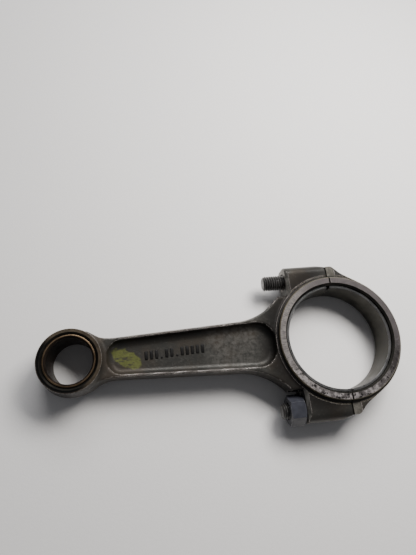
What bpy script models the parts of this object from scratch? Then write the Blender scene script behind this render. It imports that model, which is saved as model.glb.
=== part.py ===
"""Connecting rod of a small four-stroke engine, lying flat on its thrust faces.

The rod is a forged I-beam with a bushed eye for the piston pin at one end and a
big end that is split square across the crank bore.  Two bolts clamp the cap on.
Their heads sit in milled slots in the back of the cap, and their nuts seat on the
rod's bosses.  The rod stands as it came off the engine: the upper nut is absent.

Frame: +X from the piston pin to the cap, +Z along both bores.  The origin is the
middle of the underside of the whole rod.  All lengths are in metres.
"""
import math

import bmesh
import bpy
from mathutils import Matrix, Vector

# ---------------------------------------------------------------- driving sizes
CENTRES = 0.135             # piston pin axis to crank axis
WIDTH = 0.020               # over the thrust faces, big end and small end alike
GAP = 0.0003                # clearance kept between pieces that touch

# Big end
SHELL_BORE_R = 0.02625      # crank pin 52.5 mm
SHELL_BACK_R = 0.02760
SHELL_RECESS = 0.0019       # shell edge below the thrust face
SHELL_CHAMFER = 0.0002
HOUSING_R = SHELL_BACK_R + GAP
HOUSING_CHAMFER = 0.0007
RING_R = 0.03175            # raised thrust ring
RING_CHAMFER = 0.0004
HUB_MID_R = 0.0334          # forged hub at the die parting plane
HUB_TOP_R = 0.0326          # and at its drafted top edge
HUB_TOP = 0.0078            # hub, bosses and ears, above the mid plane

# Bosses, bolts and nut
BOLT_Y = 0.0335
BOLT_R = 0.0040             # M8
BOLT_HOLE_R = BOLT_R + GAP
BOLT_TIP_X = -0.0340
BOLT_TIP_CHAMFER = 0.0008
BOSS_END_X = -0.0228
BOSS_OUTER_Y = 0.0406
BOSS_INNER_Y = 0.0220
BOSS_ROUND = 0.0050         # rounding of the boss along the bolt
BOSS_TAPER_X = -0.0050      # from here the boss runs down to the ear
BOSS_PAST_JOINT = 0.0020    # drawn past the joint, then cut off with the cap's half
EAR_Y = 0.0388              # half width across the joint face
EAR_RUN = 0.0034            # the cap's ears stay straight this far past the joint
NUT_CLEARANCE_R = 0.0098    # cut round the nut for a socket
NUT_ROOM = 0.0140           # how far that cut reaches from the boss
NUT_FLATS = 0.0132
NUT_HEIGHT = 0.0078
NUT_CHAMFER = 0.0009
HEAD_SEAT_X = 0.0043
HEAD_HEIGHT = 0.0043
HEAD_HALF_Z = 0.0055
HEAD_INNER_Y = 0.0290
HEAD_BEVEL = 0.0004
SHANK_IN_HEAD = 0.0010      # how far the shank runs into the head it is joined to

# Small end
EYE_MID_R = 0.0166          # forged eye at the die parting plane
EYE_TOP_R = 0.0154          # and at its machined face
BUSH_BORE_R = 0.0110        # piston pin 22 mm
BUSH_R = 0.01250
EYE_BORE_R = BUSH_R + GAP
EYE_BORE_CHAMFER = 0.0011
BUSH_CHAMFER = 0.0004

# I-beam
BEAM_HALF_Z = 0.0070
WEB_HALF_Z = 0.0025
BEAM_NARROW = (-0.1125, 0.01029)   # x and half width where the straight taper starts
BEAM_WIDE = (-0.052, 0.0129)       # and where it ends
EYE_FILLET_R = 0.024
HUB_FILLET_R = 0.031
BEAM_EDGE = 0.0006
BEAM_DRAFT = 0.0005                # narrowing of each side from the parting plane up
DRAFT_GROWTH = 0.03                # per metre along the fillet, up to the eye's own draft
FLANGE = 0.0019                    # flange thickness at the top of the pocket
POCKET_EYE_X = -0.1178
POCKET_HUB_X = -0.0333
POCKET_EYE_ROUND = 0.0070
POCKET_HUB_ROUND = 0.0095
POCKET_FLOOR_ROUND = 0.0022
BEAM_START_X = -0.1262             # the loft's ends lie inside the eye and the hub
BEAM_END_X = -0.0215
BEAM_STEPS = 42
FLARE_HALF = 0.0246                # the flare runs out here, at the nut's boss

# Facets of the round shapes
BIG_STEPS = 96
SMALL_STEPS = 64
BOLT_STEPS = 32
ARC_STEPS = 10
CAP_STEPS = 40
CAP_BEVEL_ANGLE = 60.0      # leaves the corners of the cap's plan sharp

# ------------------------------------------------------------- worked-out places
X_LOW = -(CENTRES + EYE_MID_R)
X_HIGH = HUB_MID_R
NUT_CORNER_R = NUT_FLATS / math.sqrt(3.0)
Y_LOW = -(BOLT_Y + NUT_CORNER_R)
Y_HIGH = BOSS_OUTER_Y
HALF_WIDTH = WIDTH / 2
BIG_END = Vector((-(X_LOW + X_HIGH) / 2, -(Y_LOW + Y_HIGH) / 2, HALF_WIDTH))
SMALL_END = BIG_END - Vector((CENTRES, 0.0, 0.0))
SIDES = {"upper": 1.0, "lower": -1.0}
ALONG_X = Matrix.Rotation(math.radians(90.0), 4, "Y")
PAST = 0.004                       # how far a cutter runs past the metal
FAR = 0.060                        # a size that covers the whole big end


# ----------------------------------------------------------------------- helpers
def clear_scene():
    for obj in list(bpy.data.objects):
        bpy.data.objects.remove(obj, do_unlink=True)


def new_collection(name):
    group = bpy.data.collections.new(name)
    bpy.context.scene.collection.children.link(group)
    return group


def new_object(name, mesh, group, location):
    obj = bpy.data.objects.new(name, mesh)
    obj.location = location
    group.objects.link(obj)
    return obj


def object_from_bmesh(name, bm, group, location):
    mesh = bpy.data.meshes.new(name)
    bm.to_mesh(mesh)
    bm.free()
    return new_object(name, mesh, group, location)


def turned(name, profile, closed, steps, group, location):
    """Turn (radius, height) points about Z; the outer side runs from top to bottom."""
    count = len(profile)
    edges = [(i, i + 1) for i in range(count - 1)]
    if closed:
        edges.append((count - 1, 0))
    mesh = bpy.data.meshes.new(name)
    mesh.from_pydata([(radius, 0.0, height) for radius, height in profile], edges, [])
    obj = new_object(name, mesh, group, location)
    turn = obj.modifiers.new("turn", "SCREW")
    turn.angle = math.tau
    turn.steps = steps
    turn.render_steps = steps
    turn.use_merge_vertices = True
    turn.merge_threshold = 0.00001
    return obj


def extruded(name, outline, low, high, group, location, turn=Matrix.Identity(4)):
    """Extrude a flat closed outline from low to high, then turn it into place."""
    curve = bpy.data.curves.new(name, "CURVE")
    curve.dimensions = "2D"
    curve.fill_mode = "BOTH"
    curve.extrude = (high - low) / 2
    spline = curve.splines.new("POLY")
    spline.points.add(len(outline) - 1)
    for point, (x, y) in zip(spline.points, outline):
        point.co = (x, y, 0.0, 1.0)
    spline.use_cyclic_u = True
    sketch = new_object(name + "_sketch", curve, group, (0.0, 0.0, 0.0))
    depsgraph = bpy.context.evaluated_depsgraph_get()
    mesh = bpy.data.meshes.new_from_object(sketch.evaluated_get(depsgraph))
    bpy.data.objects.remove(sketch, do_unlink=True)
    bm = bmesh.new()
    bm.from_mesh(mesh)
    bmesh.ops.remove_doubles(bm, verts=bm.verts, dist=0.000001)
    bmesh.ops.translate(bm, verts=bm.verts, vec=(0.0, 0.0, (low + high) / 2))
    bmesh.ops.transform(bm, matrix=turn, verts=bm.verts)
    bmesh.ops.recalc_face_normals(bm, faces=bm.faces)
    return object_from_bmesh(name, bm, group, location)


def box(name, low, high, group, location):
    low, high = Vector(low), Vector(high)
    bm = bmesh.new()
    bmesh.ops.create_cube(bm, size=1.0)
    bmesh.ops.scale(bm, vec=high - low, verts=bm.verts)
    bmesh.ops.translate(bm, vec=(low + high) / 2, verts=bm.verts)
    return object_from_bmesh(name, bm, group, location)


def bar_along_x(name, radius, x_low, x_high, y, sides, group, location):
    bm = bmesh.new()
    bmesh.ops.create_cone(
        bm, cap_ends=True, segments=sides, radius1=radius, radius2=radius, depth=x_high - x_low
    )
    bmesh.ops.transform(bm, matrix=ALONG_X, verts=bm.verts)
    bmesh.ops.translate(bm, vec=((x_low + x_high) / 2, y, 0.0), verts=bm.verts)
    return object_from_bmesh(name, bm, group, location)


def bevelled(obj, width, segments, angle_deg=40.0):
    edge = obj.modifiers.new("bevel", "BEVEL")
    edge.width = width
    edge.segments = segments
    edge.limit_method = "ANGLE"
    edge.angle_limit = math.radians(angle_deg)
    return obj


def combine(obj, other, operation):
    """Boolean with EXACT; the second shape is kept as a hidden guide."""
    step = obj.modifiers.new(operation.lower() + "_" + other.name, "BOOLEAN")
    step.operation = operation
    step.solver = "EXACT"
    step.object = other
    other.hide_render = True
    other.display_type = "WIRE"


def join(obj, other):
    combine(obj, other, "UNION")


def cut(obj, other):
    combine(obj, other, "DIFFERENCE")


def rounded_outline(corners):
    """A closed outline from (x, y, radius) corners, with an arc at each corner."""
    points = []
    count = len(corners)
    for i, (x, y, radius) in enumerate(corners):
        here = Vector((x, y))
        before = (Vector(corners[i - 1][:2]) - here).normalized()
        after = (Vector(corners[(i + 1) % count][:2]) - here).normalized()
        if radius == 0.0:
            points.append((here.x, here.y))
            continue
        half = before.angle(after) / 2
        centre = here + (before + after).normalized() * (radius / math.sin(half))
        start = here + before * (radius / math.tan(half)) - centre
        sweep = math.pi - 2 * half
        if before.cross(after) > 0.0:
            sweep = -sweep
        for k in range(ARC_STEPS + 1):
            spoke = start.copy()
            spoke.rotate(Matrix.Rotation(sweep * k / ARC_STEPS, 2))
            points.append((centre.x + spoke.x, centre.y + spoke.y))
    return points


def finish(obj, material):
    obj.data.materials.clear()
    obj.data.materials.append(material)
    obj.data.shade_smooth()
    obj.data.set_sharp_from_angle(angle=math.radians(30.0))


def metal(name, colour, roughness, metallic):
    material = bpy.data.materials.new(name)
    material.use_nodes = True
    shader = material.node_tree.nodes["Principled BSDF"]
    shader.inputs["Base Color"].default_value = (*colour, 1.0)
    shader.inputs["Roughness"].default_value = roughness
    shader.inputs["Metallic"].default_value = metallic
    return material


# ------------------------------------------------------------------ beam outline
def beam_half_width(x):
    """Half width of the I-beam at its parting plane: fillet, straight taper, fillet."""
    slope = (BEAM_WIDE[1] - BEAM_NARROW[1]) / (BEAM_WIDE[0] - BEAM_NARROW[0])
    straight = BEAM_NARROW[1] + slope * (x - BEAM_NARROW[0])
    if x < BEAM_NARROW[0]:
        run, radius = BEAM_NARROW[0] - x, EYE_FILLET_R
    elif x > BEAM_WIDE[0]:
        run, radius = x - BEAM_WIDE[0], HUB_FILLET_R
    else:
        return straight
    return min(straight + radius - math.sqrt(radius**2 - run**2), FLARE_HALF)


def beam_section(x):
    """Half the outline across the beam, from its upper to its lower middle."""
    half_width = beam_half_width(x)
    side = half_width - BEAM_DRAFT - DRAFT_GROWTH * max(0.0, BEAM_NARROW[0] - x)
    return [
        (side - BEAM_EDGE, BEAM_HALF_Z), (side, BEAM_HALF_Z - BEAM_EDGE), (half_width, 0.0),
        (side, BEAM_EDGE - BEAM_HALF_Z), (side - BEAM_EDGE, -BEAM_HALF_Z),
    ]


def beam_loft(name, group):
    """The solid beam, lofted through its drafted sections from the eye to the hub."""
    xs = [BEAM_START_X + (BEAM_END_X - BEAM_START_X) * i / BEAM_STEPS for i in range(BEAM_STEPS + 1)]
    bm = bmesh.new()
    loops = []
    for x in xs:
        right = beam_section(x)
        left = [(-y, z) for y, z in reversed(right)]
        loops.append([bm.verts.new((x, y, z)) for y, z in right + left])
    for near, far in zip(loops, loops[1:]):
        for i in range(len(near)):
            bm.faces.new((near[i - 1], near[i], far[i], far[i - 1]))
    bm.faces.new(loops[0])
    bm.faces.new(loops[-1])
    bmesh.ops.recalc_face_normals(bm, faces=bm.faces)
    return object_from_bmesh(name, bm, group, BIG_END)


def pocket_outline():
    """The plan of the pocket between the flanges."""
    eye_y = beam_half_width(BEAM_NARROW[0]) - FLANGE
    hub_y = beam_half_width(BEAM_WIDE[0]) - FLANGE
    slope = (hub_y - eye_y) / (BEAM_WIDE[0] - BEAM_NARROW[0])
    at_eye = eye_y + slope * (POCKET_EYE_X - BEAM_NARROW[0])
    at_hub = eye_y + slope * (POCKET_HUB_X - BEAM_NARROW[0])
    return rounded_outline([
        (POCKET_EYE_X, at_eye, POCKET_EYE_ROUND),
        (POCKET_HUB_X, at_hub, POCKET_HUB_ROUND),
        (POCKET_HUB_X, -at_hub, POCKET_HUB_ROUND),
        (POCKET_EYE_X, -at_eye, POCKET_EYE_ROUND),
    ])


# ------------------------------------------------------------ shapes of the ends
def drafted_disc(name, mid_r, top_r, top, steps, group, location):
    """A forged disc that is widest at the parting plane."""
    profile = [(0.0, top), (top_r, top), (mid_r, 0.0), (top_r, -top), (0.0, -top)]
    return turned(name, profile, False, steps, group, location)


def faced_disc(name, radius, chamfer, half, steps, group, location):
    """A machined disc with chamfered rims."""
    profile = [
        (0.0, half), (radius - chamfer, half), (radius, half - chamfer),
        (radius, chamfer - half), (radius - chamfer, -half), (0.0, -half),
    ]
    return turned(name, profile, False, steps, group, location)


def bore_cutter(name, radius, chamfer, steps, group, location):
    """A bore cutter that opens into a chamfer at both thrust faces."""
    mouth = HALF_WIDTH - chamfer
    wide = radius + chamfer + PAST
    end = HALF_WIDTH + PAST
    profile = [
        (0.0, end), (wide, end), (radius, mouth), (radius, -mouth), (wide, -end), (0.0, -end),
    ]
    return turned(name, profile, False, steps, group, location)


def ring(name, inner_r, outer_r, half, chamfer, steps, group, location):
    profile = [
        (inner_r + chamfer, half), (outer_r - chamfer, half), (outer_r, half - chamfer),
        (outer_r, chamfer - half), (outer_r - chamfer, -half), (inner_r + chamfer, -half),
        (inner_r, chamfer - half), (inner_r, half - chamfer),
    ]
    return turned(name, profile, True, steps, group, location)


def boss(name, sign, group):
    """A bolt boss: a bar with rounded outer edges that runs down to the ear at the joint."""
    outer, inner = sign * BOSS_OUTER_Y, sign * BOSS_INNER_Y
    section = rounded_outline([
        (HUB_TOP, outer, BOSS_ROUND), (-HUB_TOP, outer, BOSS_ROUND),
        (-HUB_TOP, inner, 0.0), (HUB_TOP, inner, 0.0),
    ])
    bar = extruded(name, section, BOSS_END_X, BOSS_PAST_JOINT, group, BIG_END, ALONG_X)
    past = sign * (BOSS_OUTER_Y + PAST)
    slope = (BOSS_OUTER_Y - EAR_Y) / BOSS_TAPER_X
    end_x = PAST
    wedge = [
        (BOSS_TAPER_X, outer), (end_x, sign * (EAR_Y + slope * end_x)), (end_x, past),
        (BOSS_TAPER_X, past),
    ]
    cut(bar, extruded(name + "_taper", wedge, -FAR, FAR, group, BIG_END))
    return bar


def shoulder_half_width(x):
    """Half width of the cap along its shoulders, which fall at 45 degrees from the ears."""
    return EAR_Y + EAR_RUN - x


def cap_outline():
    """The plan of the cap: short straight ears, shoulders down to the hub, and the hub."""
    meet = math.pi / 4 + math.acos((EAR_Y + EAR_RUN) / (HUB_MID_R * math.sqrt(2.0)))
    angles = [meet - 2 * meet * i / CAP_STEPS for i in range(CAP_STEPS + 1)]
    arc = [(HUB_MID_R * math.cos(a), HUB_MID_R * math.sin(a)) for a in angles]
    return [(GAP / 2, EAR_Y), (EAR_RUN, EAR_Y), *arc, (EAR_RUN, -EAR_Y), (GAP / 2, -EAR_Y)]


# -------------------------------------------------------------------- the pieces
def build_rod(parts, cutters, material):
    rod = beam_loft("rod_body", parts)
    join(rod, drafted_disc("eye", EYE_MID_R, EYE_TOP_R, HALF_WIDTH, SMALL_STEPS, cutters, SMALL_END))
    join(rod, drafted_disc("hub", HUB_MID_R, HUB_TOP_R, HUB_TOP, BIG_STEPS, cutters, BIG_END))
    for side, sign in SIDES.items():
        join(rod, boss(side + "_boss", sign, cutters))
    join(rod, faced_disc("thrust_disc", RING_R, RING_CHAMFER, HALF_WIDTH, BIG_STEPS, cutters, BIG_END))
    for side, sign in SIDES.items():
        low, high = sorted((sign * WEB_HALF_Z, sign * (BEAM_HALF_Z + PAST)))
        pocket = extruded(side + "_pocket", pocket_outline(), low, high, cutters, BIG_END)
        cut(rod, bevelled(pocket, POCKET_FLOOR_ROUND, 3))
        nut_room = bar_along_x(
            side + "_nut_room", NUT_CLEARANCE_R, BOSS_END_X - NUT_ROOM, BOSS_END_X,
            sign * BOLT_Y, BOLT_STEPS, cutters, BIG_END,
        )
        cut(rod, nut_room)
        hole = bar_along_x(
            side + "_bolt_hole", BOLT_HOLE_R, BOSS_END_X - PAST, PAST,
            sign * BOLT_Y, BOLT_STEPS, cutters, BIG_END,
        )
        cut(rod, hole)
    cut(rod, bore_cutter("housing", HOUSING_R, HOUSING_CHAMFER, BIG_STEPS, cutters, BIG_END))
    cut(rod, bore_cutter("eye_bore", EYE_BORE_R, EYE_BORE_CHAMFER, SMALL_STEPS, cutters, SMALL_END))
    cut(rod, box("cap_space", (-GAP / 2, -FAR, -FAR), (FAR, FAR, FAR), cutters, BIG_END))
    finish(rod, material)


def build_cap(parts, cutters, material):
    cap = extruded("big_end_cap", cap_outline(), -HUB_TOP, HUB_TOP, parts, BIG_END)
    bevelled(cap, HUB_MID_R - HUB_TOP_R, 2, CAP_BEVEL_ANGLE)
    disc = faced_disc("cap_disc", RING_R, RING_CHAMFER, HALF_WIDTH, BIG_STEPS, cutters, BIG_END)
    cut(disc, box("rod_space", (-FAR, -FAR, -FAR), (GAP / 2, FAR, FAR), cutters, BIG_END))
    join(cap, disc)
    cut(cap, bore_cutter("cap_housing", HOUSING_R, HOUSING_CHAMFER, BIG_STEPS, cutters, BIG_END))
    for side, sign in SIDES.items():
        hole = bar_along_x(
            side + "_cap_hole", BOLT_HOLE_R, -PAST, HEAD_SEAT_X + PAST,
            sign * BOLT_Y, BOLT_STEPS, cutters, BIG_END,
        )
        cut(cap, hole)
        inner, outer = sign * (HEAD_INNER_Y - GAP), sign * FAR
        slot = box(
            side + "_head_slot",
            (HEAD_SEAT_X - GAP, min(inner, outer), -HEAD_HALF_Z - GAP),
            (FAR, max(inner, outer), HEAD_HALF_Z + GAP), cutters, BIG_END,
        )
        cut(cap, slot)
    finish(cap, material)


def build_shells(parts, cutters, material):
    half = HALF_WIDTH - SHELL_RECESS
    for name, sign in (("rod_side_shell", 1.0), ("cap_side_shell", -1.0)):
        shell = ring(
            name, SHELL_BORE_R, SHELL_BACK_R, half, SHELL_CHAMFER, BIG_STEPS, parts, BIG_END
        )
        near, far = -sign * GAP / 2, sign * FAR
        low = (min(near, far), -FAR, -FAR)
        high = (max(near, far), FAR, FAR)
        cut(shell, box(name + "_other_half", low, high, cutters, BIG_END))
        finish(shell, material)


def build_bush(parts, material):
    bush = ring(
        "small_end_bush", BUSH_BORE_R, BUSH_R, HALF_WIDTH - GAP / 2, BUSH_CHAMFER,
        SMALL_STEPS, parts, SMALL_END,
    )
    finish(bush, material)


def build_bolt(side, sign, parts, cutters, material):
    """A bolt lying along X, with a T-shaped head trimmed flush with the cap's shoulder."""
    place = BIG_END + Vector((0.0, sign * BOLT_Y, 0.0))
    inner = sign * (HEAD_INNER_Y - BOLT_Y)
    outer = sign * (EAR_Y - BOLT_Y)
    head_end = HEAD_SEAT_X + HEAD_HEIGHT
    bolt = box(
        side + "_bolt", (HEAD_SEAT_X, min(inner, outer), -HEAD_HALF_Z),
        (head_end, max(inner, outer), HEAD_HALF_Z), parts, place,
    )
    reach = HUB_MID_R
    line = [(x, sign * (shoulder_half_width(x) - GAP - BOLT_Y)) for x in (0.0, reach)]
    trim = [*line, (reach, sign * EAR_Y), (0.0, sign * EAR_Y)]
    cut(bolt, extruded(side + "_head_trim", trim, -FAR, FAR, cutters, place))
    bevelled(bolt, HEAD_BEVEL, 1)
    length = HEAD_SEAT_X + SHANK_IN_HEAD - BOLT_TIP_X
    shank = turned(
        side + "_shank",
        [
            (0.0, length), (BOLT_R, length), (BOLT_R, BOLT_TIP_CHAMFER),
            (BOLT_R - BOLT_TIP_CHAMFER, 0.0), (0.0, 0.0),
        ],
        False, BOLT_STEPS, cutters, place + Vector((BOLT_TIP_X, 0.0, 0.0)),
    )
    shank.rotation_euler = (0.0, math.radians(90.0), 0.0)
    join(bolt, shank)
    finish(bolt, material)


def build_nut(side, sign, parts, cutters, material):
    """A plain nut whose flats face up and down, seated on its boss."""
    place = BIG_END + Vector((BOSS_END_X - GAP, sign * BOLT_Y, 0.0))
    nut = bar_along_x(side + "_nut", NUT_CORNER_R, -NUT_HEIGHT, 0.0, 0.0, 6, parts, place)
    low_r = NUT_FLATS / 2
    blank = turned(
        side + "_nut_blank",
        [
            (0.0, NUT_HEIGHT), (low_r, NUT_HEIGHT), (low_r + 2 * NUT_CHAMFER, NUT_HEIGHT - NUT_CHAMFER),
            (low_r + 2 * NUT_CHAMFER, NUT_CHAMFER), (low_r, 0.0), (0.0, 0.0),
        ],
        False, SMALL_STEPS, cutters, place - Vector((NUT_HEIGHT, 0.0, 0.0)),
    )
    blank.rotation_euler = (0.0, math.radians(90.0), 0.0)
    combine(nut, blank, "INTERSECT")
    hole = bar_along_x(
        side + "_nut_hole", BOLT_HOLE_R, -NUT_HEIGHT - PAST, PAST, 0.0, BOLT_STEPS, cutters, place
    )
    cut(nut, hole)
    finish(nut, material)


def main():
    clear_scene()
    parts = new_collection("connecting_rod")
    cutters = new_collection("cutters")
    forged = metal("forged_steel", (0.13, 0.12, 0.11), 0.45, 0.85)
    bearing = metal("bearing_steel", (0.36, 0.35, 0.33), 0.35, 0.90)
    bronze = metal("bronze", (0.42, 0.30, 0.17), 0.35, 0.95)
    black = metal("black_oxide_steel", (0.07, 0.07, 0.075), 0.40, 0.85)
    build_rod(parts, cutters, forged)
    build_cap(parts, cutters, forged)
    build_shells(parts, cutters, bearing)
    build_bush(parts, bronze)
    for side, sign in SIDES.items():
        build_bolt(side, sign, parts, cutters, black)
    build_nut("lower", SIDES["lower"], parts, cutters, black)


main()
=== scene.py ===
"""Connecting rod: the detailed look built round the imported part.

Every shape is drawn in millimetres from the crank axis, with x towards the cap and
z up from the die parting plane, and is put into the frame's metres by to_frame.
"""

import itertools
import math

import bmesh
import bpy
import numpy as np
from mathutils import Matrix, Vector


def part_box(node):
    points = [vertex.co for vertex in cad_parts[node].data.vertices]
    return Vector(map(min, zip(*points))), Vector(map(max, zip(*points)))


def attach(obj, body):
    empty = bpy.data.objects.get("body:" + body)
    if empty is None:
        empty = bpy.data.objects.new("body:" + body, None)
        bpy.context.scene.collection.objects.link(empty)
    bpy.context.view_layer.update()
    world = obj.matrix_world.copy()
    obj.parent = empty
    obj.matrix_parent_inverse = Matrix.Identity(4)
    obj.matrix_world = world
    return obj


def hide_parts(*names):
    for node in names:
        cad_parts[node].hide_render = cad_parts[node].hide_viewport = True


MM = 0.001
MERGE = 1e-7                # metres; points this close are one

# ------------------------------------------------------------------ sizes, in mm
CENTRES = 135.0
HALF = 10.0                 # half the width over the thrust faces
GAP = 0.3                   # left between touching pieces
EYE_MID_R, EYE_TOP_R = 16.45, 15.40     # at the parting plane and at the faces
EYE_BORE_R, EYE_BORE_CHAMFER = 12.65, 1.15
BUSH_R, BUSH_BORE_R = 12.50, 11.00
BUSH_PROUD = 0.15           # the bush stops this far below each face
HUB_MID_R, HUB_TOP_R, HUB_TOP = 33.25, 32.60, 7.8
RING_R, RING_BLANK_R, RING_CHAMFER = 31.75, 32.40, 0.4
LEDGE_R, LEDGE_TOP = 33.25, 7.5     # turned step round the foot of the ring
HOUSING_R, HOUSING_CHAMFER = 27.72, 0.8
SHELL_BACK_R, SHELL_BORE_R, SHELL_HALF = 27.60, 26.25, 8.1
FLASH, FLASH_HALF = 0.15, 0.8       # trimmed flash left at the parting plane
BEAM_HALF_Z, WEB_HALF_Z = 7.0, 2.5
NARROW_X, NARROW_HALF = -112.5, 10.29
WIDE_X, WIDE_HALF = -52.0, 12.90
BEAM_TAPER = (WIDE_HALF - NARROW_HALF) / (WIDE_X - NARROW_X)
EYE_FILLET, HUB_FILLET = 26.0, 31.0
FLARE_HALF = 24.6           # the widest that the beam's flare gets
FLANGE = 1.9                # metal between the pocket and the beam's side
BEAM_DRAFT, DRAFT_GROWTH = 0.06, 0.0050     # slope of the sides, and its gain per mm towards the eye
BEAM_START_X, BEAM_END_X = -126.0, -12.0
POCKET_EYE_X, POCKET_HUB_X = -117.8, -33.3
POCKET_EYE_ROUND, POCKET_HUB_ROUND = 7.0, 9.5
FLOOR_ROUND = 2.7           # fillet round the pocket's floor
WALL_DRAFT = math.radians(8.0)
BOLT_Y, BOLT_R, BOLT_HOLE_R = 33.5, 4.0, 4.2
BOLT_TIP_X, THREAD_END_X, THREAD_PITCH, THREAD_DEPTH = -34.0, -12.0, 1.25, 0.62
BOSS_END_X, BOSS_OUTER_Y, BOSS_INNER_Y, BOSS_ROUND = -22.8, 40.5, 22.0, 5.0
BOSS_TAPER_X, EAR_Y, EAR_RUN = -5.0, 38.8, 3.4      # the ears stay straight for EAR_RUN
CAP_R, CAP_DRAFT, SHOULDER_SWEEP = 33.4, 0.01, 2.5
JOINT_GROOVE, JOINT_GROOVE_Z, JOINT_VEE = 0.65, 6.9, 0.42
BOSS_CHAMFER = 1.5
NUT_ROOM_R, NUT_ROOM = 9.8, 14.0    # the pocket milled for the nut and its spanner
NUT_FLATS, NUT_HEIGHT, NUT_CHAMFER = 13.2, 7.8, 0.9
HEAD_SEAT_X, HEAD_HEIGHT, HEAD_HALF_Z, HEAD_INNER_Y = 4.3, 4.3, 5.5, 29.0
HEAD_SET_BACK = 0.1         # the head's outer side below the cap's shoulder
EAR_FLAT_X, EAR_FLAT_TOP, EAR_FLAT_Y = 4.3, 7.5, 33.0
SIDES = {"upper": 1.0, "lower": -1.0}
FACES = (1.0, -1.0)         # the side of the parting plane that each face is on

# Rounded edges of the forgings, then the fillets where their parts meet.
EYE_EDGE, HUB_EDGE, BEAM_EDGE, EAR_EDGE, POCKET_EDGE = 0.5, 0.5, 0.7, 0.9, 0.45
BOSS_SIDE_EDGE, BOSS_END_EDGE = 0.5, 0.4
EYE_BEAM_FILLET, HUB_BEAM_FILLET, BOSS_FILLET = 2.2, 1.6, 1.2
RING_FILLET, CAP_RING_FILLET = 0.8, 0.6
EYE_SWEEP, HUB_SWEEP = 0.9, 0.995   # share of the beam's end fillets that is followed

# Stock left on the forgings for the cuts to take off.
EYE_STOCK, RING_STOCK, JOINT_STOCK, BOSS_STOCK = 0.15, 0.5, 3.0, 4.0

# Spacing of the grids that the forgings are sampled on, and the boxes they fill.
ROD_GRID, ROD_BOX = 0.5, ((-153.0, -43.0, -11.5), (4.0, 43.0, 11.5))
CAP_GRID, CAP_BOX = 0.42, ((-4.0, -41.0, -11.5), (35.0, 41.0, 11.5))

# How far the tools reach past the steel.
FAR, FAR_EYE_X, FAR_Z = 60.0, -160.0, 20.0
BORE_PAST, FACING_PAST, VEE_PAST, HOLE_PAST = 2.0, 5.0, 0.3, 5.0
RING_PAST, RING_CLEAR = 1.0, 1.4
GROOVE_END_X, CAP_HOLE_END_X, SPACE_END_X = 9.0, 9.0, 10.0
SHELL_FAR, SHELL_FAR_Z = 40.0, 12.0

# Small edges. Where there are two numbers to a point, they are (out, up) from the corner.
RING_FOOT = ((0.6, 0.0), (0.3, 0.08), (0.08, 0.3), (0.0, 0.6))
LEDGE_SLOPE = 0.35
ROOM_ROUND, ROOM_ROUND_MID = 0.8, 0.23
HOLE_SINK = 0.5
JOINT_GROOVE_Y = EAR_FLAT_Y - 0.4
SHELL_BACK_CHAMFER, SHELL_BORE_CHAMFER = 0.2, 0.35
TANG_DEPTH, TANG_PAST, TANG_Y, TANG_Z = 2.0, 1.0, (25.0, 29.0), (4.9, 9.0)
BUSH_OUTER_EDGE = ((-0.35, 0.0), (-0.08, -0.1), (0.0, -0.4))
BUSH_BORE_EDGE = ((0.85, 0.0), (0.75, -0.1), (0.0, -1.1))

# Threads, bolt heads and nuts.
THREAD_STEP, THREAD_AROUND, THREAD_RUN_OUT = 0.125, 56, 1.0
THREAD_CREST, THREAD_FLANK = 0.10, 0.76     # shares of half the pitch
TIP_INSET, TIP_SLOPE = 0.95, 1.1
HEAD_BEVEL, HEAD_ROOT = 0.2, 1.0
NUT_BEVEL, NUT_FACE_INSET = 0.12, 0.15
MOUTH_OUT, MOUTH_IN, MOUTH_PAST, MOUTH_DEPTH = 0.55, 0.6, 0.2, 0.95
TAP_CLEARANCE, TAP_START, TAP_THREAD, TAP_END = 0.12, 1.0, 2.0, 3.0

# Raised marks in the web: groups of bars as (first x, first y, bars), and dots.
MARK_GROUPS = ((-98.8, 0.1, 3), (-88.6, 0.5, 2), (-80.8, 0.8, 5))
MARK_PITCH, MARK_RISE, MARK_HALF, MARK_LENGTH = 2.6, 0.1, 0.75, 4.2
MARK_HEIGHT, MARK_BEVEL, MARK_ROOT = 0.42, 0.3, 0.6
DOTS = ((-91.1, -1.4), (-83.4, -1.0))
DOT_R, DOT_CORNERS, DOT_HEIGHT, DOT_BEVEL = 0.55, 10, 0.38, 0.15

# Points round each turned shape.
RING_STEPS, EYE_STEPS, SHELL_STEPS, BUSH_STEPS = 192, 128, 256, 160
ROOM_STEPS, HOLE_STEPS, NUT_STEPS, MOUTH_STEPS = 96, 64, 128, 96

# Finishes of the forgings' faces, in the order of their material slots.
FORGED, THRUST, EYE_FACE, BORED, MILLED, EAR_FLAT, RING_WALL = range(7)
SQUARE = 0.97               # a normal with this much of one axis looks along it
NEAR = 0.05                 # a face this close to a plane lies in it
SHARP_ANGLE = math.radians(32.0)
SHADER_SAMPLES = 6
# Near black for the painted shade on the forgings.
SHADE_BLACK = (0.012, 0.010, 0.009)
DAUB_X, DAUB_Y, DAUB_LEAN = -108.6, -0.4, 0.42
DAUB_HALF_LENGTH, DAUB_HALF_WIDTH = 7.4, 4.6

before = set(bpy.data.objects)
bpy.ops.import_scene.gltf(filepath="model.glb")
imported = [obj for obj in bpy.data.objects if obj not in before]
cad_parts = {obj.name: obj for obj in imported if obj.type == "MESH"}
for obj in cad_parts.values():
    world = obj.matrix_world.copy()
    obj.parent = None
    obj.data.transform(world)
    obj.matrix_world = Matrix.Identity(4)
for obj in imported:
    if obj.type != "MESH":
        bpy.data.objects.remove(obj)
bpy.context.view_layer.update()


def crank_axis():
    """The crank axis at the parting plane, from the shells' boxes."""
    rod_low, rod_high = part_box("rod_side_shell")
    cap_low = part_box("cap_side_shell")[0]
    return Vector((
        (rod_high[0] + cap_low[0]) / 2,
        (rod_low[1] + rod_high[1]) / 2,
        (rod_low[2] + rod_high[2]) / 2,
    ))


BIG_END = crank_axis()


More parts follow.
